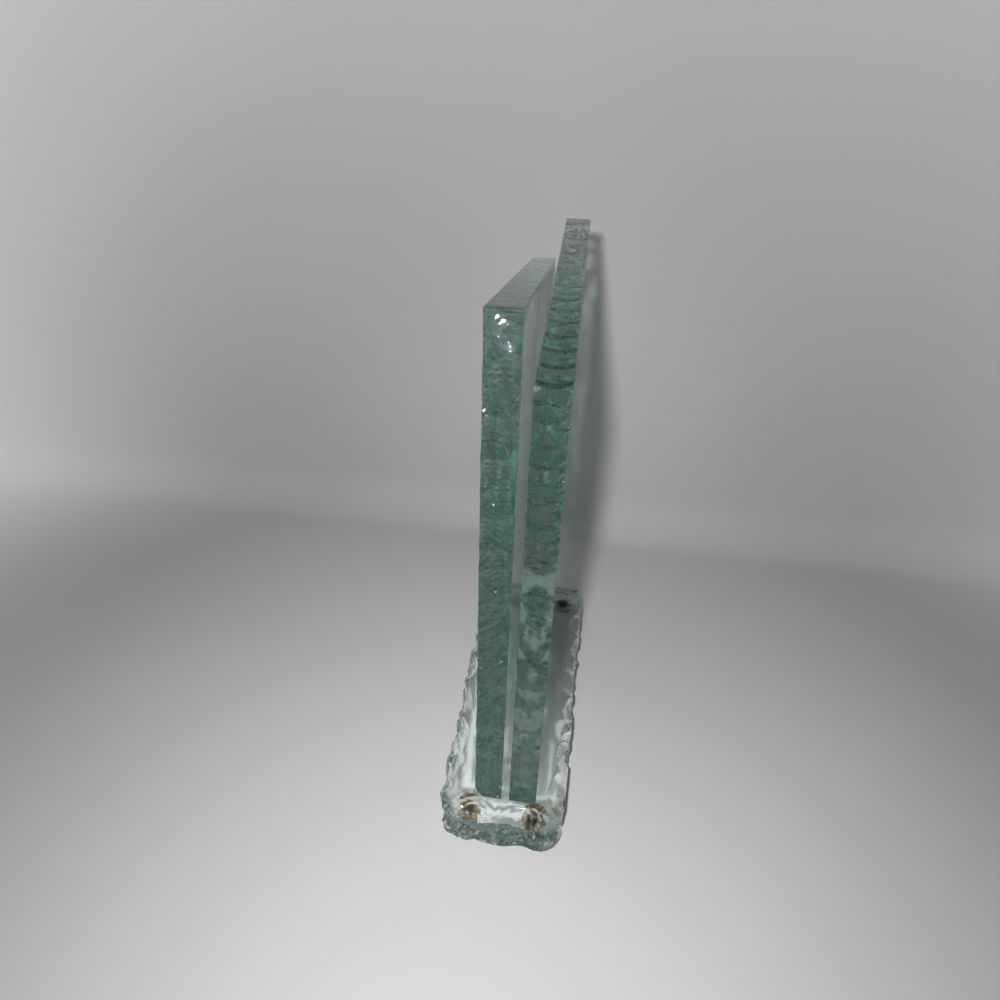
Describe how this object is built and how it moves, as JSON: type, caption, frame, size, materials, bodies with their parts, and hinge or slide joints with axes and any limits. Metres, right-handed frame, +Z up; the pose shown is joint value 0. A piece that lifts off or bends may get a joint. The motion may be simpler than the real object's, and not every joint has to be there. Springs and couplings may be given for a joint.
{
  "type": "glass picture frame",
  "caption": "Free-standing picture frame: thick clear glass plates on a chipped-edge glass base, with a narrow slot between the plates for a print.",
  "frame": {"origin": "on the table, under the middle of the base slab", "axes": "+Z up, -Y towards the front, X along the plates, with the rear plate's low side at +X"},
  "size_m": [0.15, 0.0564, 0.2106],
  "materials": {
    "base_glass": "clear polished faces with chipped edges",
    "plate_glass": "clear polished faces, green at the chipped edges",
    "adhesive": "clear cured film",
    "foot_rubber": "golden-brown translucent bumper"
  },
  "bodies": {
    "root": {"base_slab": "base_glass", "front_plate": "plate_glass", "rear_plate": "plate_glass", "front_bond": "adhesive", "rear_bond": "adhesive", "front_left_foot": "foot_rubber", "front_right_foot": "foot_rubber", "rear_left_foot": "foot_rubber", "rear_right_foot": "foot_rubber"}
  },
  "joints": []
}
